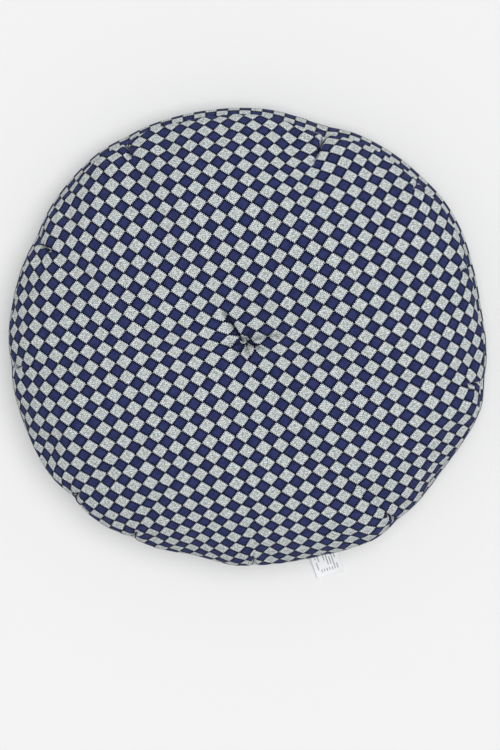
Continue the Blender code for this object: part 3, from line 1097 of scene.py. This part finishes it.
def checked_cloth(name, turn, diagonals, shift):
    """Woven checks with stepped edges: navy twill and flecked pale cells."""
    m = Weave(name, 0.82)
    straight = m.place(m.cloth_map(), (1.0, 1.0, 1.0), -turn)
    across, down = (math.sqrt(2) / d for d in diagonals)
    cells = m.place(straight, (across, down, 1.0), -math.pi / 4, (*shift, 0.0))
    u, v = m.split(cells)
    stepped = []
    for edge, beside in ((u, v), (v, u)):
        tooth = m.step(m.math("PINGPONG", m.math("MULTIPLY", beside, TEETH), 0.5), 0.12, 0.38)
        moved = m.math("MULTIPLY", m.math("SUBTRACT", tooth, 0.5), TOOTH_DEPTH)
        stepped.append(m.math("ADD", edge, moved))
    column, line = (m.math("FLOOR", edge) for edge in stepped)
    parity = m.math("FLOORED_MODULO", m.math("ADD", column, line), 2.0)
    from_u, from_v = (m.math("ABSOLUTE", m.math("SUBTRACT", m.math("FRACT", edge), 0.5))
                      for edge in stepped)
    off_middle = m.math("MAXIMUM", from_u, from_v)
    inside = m.step(off_middle, 0.472, 0.438)
    light = m.math("MULTIPLY", parity, inside)

    place = m.node("ShaderNodeCombineXYZ")
    m.put(place.inputs[0], column)
    m.put(place.inputs[1], line)
    chance = m.node("ShaderNodeTexWhiteNoise", noise_dimensions="2D")
    m.put(chance.inputs["Vector"], place.outputs[0])
    chance = chance.outputs["Value"]

    yarns = m.place(cells, (CHECK / YARN_PITCH, CHECK / YARN_PITCH, 1.0))
    warp, weft = (m.math("ABSOLUTE", m.math("SINE", m.math("MULTIPLY", yarn, math.pi)))
                  for yarn in m.split(yarns))
    dents = m.math("MULTIPLY", warp, weft)
    diagonal = m.math("SINE", m.math("MULTIPLY", m.math("ADD", u, v),
                                     2 * math.pi * CHECK / TWILL_PITCH / 1.4142))
    twill = m.math("MULTIPLY_ADD", diagonal, 0.5, 0.5)

    long_flecks = m.noise(m.place(cells, (3.6, 8.5, 1.0)), 1.0, 2.0, 0.8)
    cross_flecks = m.noise(m.place(cells, (9.0, 4.0, 1.0), 0.0, (5.0, 3.0, 0.0)), 1.0, 2.0, 0.8)
    cloud = m.noise(m.place(cells, (1.6, 1.6, 1.0)), 1.0, 2.0)

    olive, slate = (0.38, 0.38, 0.23), (0.23, 0.29, 0.31)
    pale = m.mix(m.step(cloud, 0.35, 0.7), (0.90, 0.945, 1.0), (0.95, 0.98, 1.0))
    pale = m.mix(m.step(long_flecks, 0.49, 0.57, 0.0, 0.90), pale, olive)
    pale = m.mix(m.step(cross_flecks, 0.50, 0.58, 0.0, 0.80), pale, slate)
    pale = m.mix(m.math("MULTIPLY", twill, 0.60), pale, (0.25, 0.29, 0.30))
    pale = m.mix(m.step(off_middle, 0.33, 0.41, 0.0, 0.75), pale, (0.90, 0.95, 1.0))
    pale = m.mix(m.math("MULTIPLY", chance, 0.08), pale, (0.50, 0.51, 0.47))
    navy = m.mix(m.step(cloud, 0.3, 0.7), (0.0215, 0.0290, 0.1030), (0.0350, 0.0450, 0.1480))
    navy = m.mix(m.math("MULTIPLY", twill, 0.35), navy, (0.0400, 0.0500, 0.1450))
    navy = m.mix(m.step(long_flecks, 0.58, 0.72, 0.0, 0.4), navy, (0.0060, 0.0090, 0.0260))
    navy = m.mix(m.step(off_middle, 0.30, 0.42, 0.0, 0.97), navy, (0.0010, 0.0022, 0.0070))
    colour = m.mix(light, navy, pale)
    # painted shade: the gaps between the yarns, where dents is low, are darkened towards near
    # black
    colour = m.mix(m.math("MULTIPLY", m.math("SUBTRACT", 1.0, dents), 0.06), colour,
                   (0.01, 0.012, 0.02))
    m.put(m.shader.inputs["Base Color"], colour)
    m.put(m.shader.inputs["Roughness"], m.step(light, 0.0, 1.0, 0.78, 0.9))
    m.shader.inputs["Specular IOR Level"].default_value = 0.06
    m.shader.inputs["Sheen Weight"].default_value = 0.02
    m.shader.inputs["Sheen Roughness"].default_value = 0.5
    height = m.math("ADD", m.math("MULTIPLY", dents, 0.55),
                    m.math("ADD", m.math("MULTIPLY", twill, 0.35),
                           m.math("MULTIPLY", light, 0.6)))
    m.bump(height, 0.00028, 0.9)
    return m.material


def fibre_wadding():
    m = Weave("white_wadding", 0.95)
    place = m.object_map()
    fibres = m.noise(m.place(place, (900.0, 160.0, 500.0), 0.4), 1.0, 4.0, 0.65)
    clumps = m.noise(m.place(place, (60.0, 60.0, 60.0)), 1.0, 2.0)
    colour = m.mix(m.step(fibres, 0.35, 0.65), (0.62, 0.62, 0.60), (0.86, 0.86, 0.84))
    colour = m.mix(m.step(clumps, 0.4, 0.7, 0.0, 0.25), colour, (0.70, 0.69, 0.66))
    m.put(m.shader.inputs["Base Color"], colour)
    m.shader.inputs["Sheen Weight"].default_value = 0.3
    m.bump(fibres, 0.0008, 0.8)
    return m.material


def cut_foam():
    m = Weave("cut_foam", 0.88)
    place = m.object_map()
    cells = m.node("ShaderNodeTexVoronoi", feature="F1")
    m.put(cells.inputs["Vector"], place)
    cells.inputs["Scale"].default_value = 1400.0
    pores = cells.outputs["Distance"]
    shade = m.noise(m.place(place, (30.0, 30.0, 30.0)), 1.0, 3.0)
    # painted shade: the foam is coloured darker brown in the pores' hollows
    colour = m.mix(m.step(pores, 0.1, 0.6), (0.42, 0.34, 0.19), (0.78, 0.70, 0.48))
    colour = m.mix(m.step(shade, 0.4, 0.7, 0.0, 0.3), colour, (0.80, 0.66, 0.36))
    m.put(m.shader.inputs["Base Color"], colour)
    m.bump(pores, 0.0004, 0.7)
    return m.material


def twisted_thread(name, dark, pale):
    m = Weave(name, 0.6)
    place = m.object_map()
    ply = m.node("ShaderNodeTexWave", wave_type="BANDS", bands_direction="DIAGONAL")
    m.put(ply.inputs["Vector"], place)
    ply.inputs["Scale"].default_value = 900.0
    ply.inputs["Distortion"].default_value = 1.5
    hairs = m.noise(m.place(place, (2500.0, 2500.0, 2500.0)), 1.0, 2.0)
    colour = m.mix(ply.outputs["Fac"], dark, pale)
    colour = m.mix(m.step(hairs, 0.5, 0.7, 0.0, 0.3), colour, pale)
    m.put(m.shader.inputs["Base Color"], colour)
    m.shader.inputs["Sheen Weight"].default_value = 0.2
    m.bump(ply.outputs["Fac"], 0.0001, 0.6)
    return m.material


PRINT_ROW, PRINT_DASH = 0.0024, 0.0025


def label_cloth():
    """White ribbon with generic grey dashes in rows, woven edges and a fine rib."""
    m = Weave("label_white", 0.55)
    across, along = m.split(m.cloth_map())
    rib, cross_rib = (
        m.math("MULTIPLY_ADD", m.math("SINE", m.math("MULTIPLY", axis, 2 * math.pi / pitch)),
               0.5, 0.5) for axis, pitch in ((along, 0.00042), (across, 0.00036)))
    row = m.math("DIVIDE", across, PRINT_ROW)
    in_row = m.math("ABSOLUTE", m.math("SUBTRACT", m.math("FRACT", row), 0.5))
    line = m.step(in_row, 0.24, 0.16)
    dash = m.node("ShaderNodeTexWhiteNoise", noise_dimensions="2D")
    place = m.node("ShaderNodeCombineXYZ")
    m.put(place.inputs[0], m.math("FLOOR", row))
    m.put(place.inputs[1], m.math("FLOOR", m.math("DIVIDE", along, PRINT_DASH)))
    m.put(dash.inputs["Vector"], place.outputs[0])
    printed = m.math("MULTIPLY", line, m.math("GREATER_THAN", dash.outputs["Value"], 0.38))
    for axis, low, high in ((across, 0.0030, 0.0215), (along, 0.010, 0.0355)):
        within = m.math("MULTIPLY", m.math("GREATER_THAN", axis, low),
                        m.math("LESS_THAN", axis, high))
        printed = m.math("MULTIPLY", printed, within)
    printed = m.math("MULTIPLY", printed, 0.78)
    white = m.mix(rib, (0.79, 0.80, 0.82), (0.88, 0.89, 0.91))
    colour = m.mix(printed, white, (0.22, 0.23, 0.25))
    m.put(m.shader.inputs["Base Color"], colour)
    m.shader.inputs["Sheen Weight"].default_value = 0.15
    m.bump(m.math("ADD", rib, m.math("MULTIPLY", cross_rib, 0.5)), 0.00006, 0.7)
    return m.material


def studio_floor():
    m = Weave("studio_floor", 0.95)
    m.shader.inputs["Base Color"].default_value = (0.80, 0.80, 0.80, 1.0)
    m.shader.inputs["Specular IOR Level"].default_value = 0.0
    return m.material


# Build; each piece is listed with its body, CAD part and finish, attached to its body, and that
# CAD part is hidden

square = (CHECK * math.sqrt(2),) * 2
top_cloth = checked_cloth("checked_cloth_top", TOP_TURN, TOP_DIAGONALS, (0.63, -0.17))
band_cloth = checked_cloth("checked_cloth_band", math.pi / 4, square, (0.74, 0.65))
base_cloth = checked_cloth("checked_cloth_base", math.radians(24), square, (0.3, 0.1))
wadding = fibre_wadding()
foam = cut_foam()
dark_thread = twisted_thread("dark_thread", (0.010, 0.014, 0.032), (0.035, 0.045, 0.085))
pale_thread = twisted_thread("pale_thread", (0.50, 0.50, 0.47), (0.78, 0.78, 0.74))
ribbon = label_cloth()

top_cover, top_places, top_points = build_top_panel(top_cloth)
side_cover = build_side_band(band_cloth)
base_cover = build_base(base_cloth)
upper_filling = build_upper_filling(top_places, top_points, wadding)
foam_block = build_foam_block(foam)
lower_filling = build_lower_filling(wadding)
upper_stitches = build_seam_stitches("upper_stitches", upper_seam_radius, SEAM_HIGH, dark_thread)
lower_stitches = build_seam_stitches("lower_stitches", lower_seam_radius, SEAM_LOW, dark_thread)
closing_stitches = build_closing_stitches(pale_thread)
joint_stitches = build_joint_stitches(dark_thread)
tuft_stitches = build_tuft_thread(pale_thread)
label = build_label(ribbon)

STANDS_FOR = [
    (top_cover, "cushion", "top_panel", "checked_cloth"),
    (side_cover, "cushion", "side_band", "checked_cloth"),
    (base_cover, "cushion", "bottom_panel", "checked_cloth"),
    (upper_filling, "cushion", "upper_wadding", "wadding"),
    (foam_block, "cushion", "foam_core", "foam"),
    (lower_filling, "cushion", "lower_wadding", "wadding"),
    (upper_stitches, "cushion", "upper_seam_thread", "seam_thread"),
    (lower_stitches, "cushion", "lower_seam_thread", "seam_thread"),
    (closing_stitches, "cushion", "closing_stitch", "pale_thread"),
    (joint_stitches, "cushion", "band_joint_thread", "seam_thread"),
    (tuft_stitches, "cushion", "tuft_thread", "pale_thread"),
    (label, "label", "care_label", "label_ribbon"),
]
for piece, body, node, finish in STANDS_FOR:
    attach(piece, body)
    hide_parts(node)


# Studio

bpy.ops.object.select_all(action="DESELECT")
bpy.ops.mesh.primitive_plane_add(size=12.0, location=(0.0, 0.0, 0.0))
floor = bpy.context.object
floor.name = "studio_floor"
floor.data.materials.append(studio_floor())

ROOM_LIGHT, WINDOW_LIGHT = 0.45, 2.22
WINDOW_SPREAD = math.radians(48)
WINDOW_FROM = Vector((0.20, 0.20, 0.96))
world = bpy.data.worlds.new("studio")
bpy.context.scene.world = world
world.use_nodes = True
world.node_tree.nodes["Background"].inputs["Color"].default_value = (1.0, 1.0, 1.0, 1.0)
world.node_tree.nodes["Background"].inputs["Strength"].default_value = ROOM_LIGHT

sun_data = bpy.data.lights.new("soft_window", "SUN")
sun_data.energy = WINDOW_LIGHT
sun_data.angle = WINDOW_SPREAD
sun = bpy.data.objects.new("soft_window", sun_data)
bpy.context.scene.collection.objects.link(sun)
sun.rotation_euler = WINDOW_FROM.to_track_quat("Z", "Y").to_euler()

CAMERA_TILT, CAMERA_TURN = math.radians(12.0), compass(17.0)
CAMERA_DISTANCE = 1.6
camera_data = bpy.data.cameras.new("camera")
camera = bpy.data.objects.new("camera", camera_data)
bpy.context.scene.collection.objects.link(camera)
camera_data.sensor_fit = "VERTICAL"
camera_data.sensor_height = 36.0
camera_data.lens = 91.4
away = Vector((math.sin(CAMERA_TILT) * math.cos(CAMERA_TURN),
               math.sin(CAMERA_TILT) * math.sin(CAMERA_TURN), math.cos(CAMERA_TILT)))
aim = Vector((0.0020, -0.0280, 0.04))
up = (Vector((0.0, 1.0, 0.0)) - away * away.y).normalized()
right = up.cross(away)
turned = Matrix((right, up, away)).transposed().to_4x4()
turned.translation = aim + away * CAMERA_DISTANCE
camera.matrix_world = turned
bpy.context.scene.camera = camera
bpy.context.scene.view_settings.view_transform = "Standard"
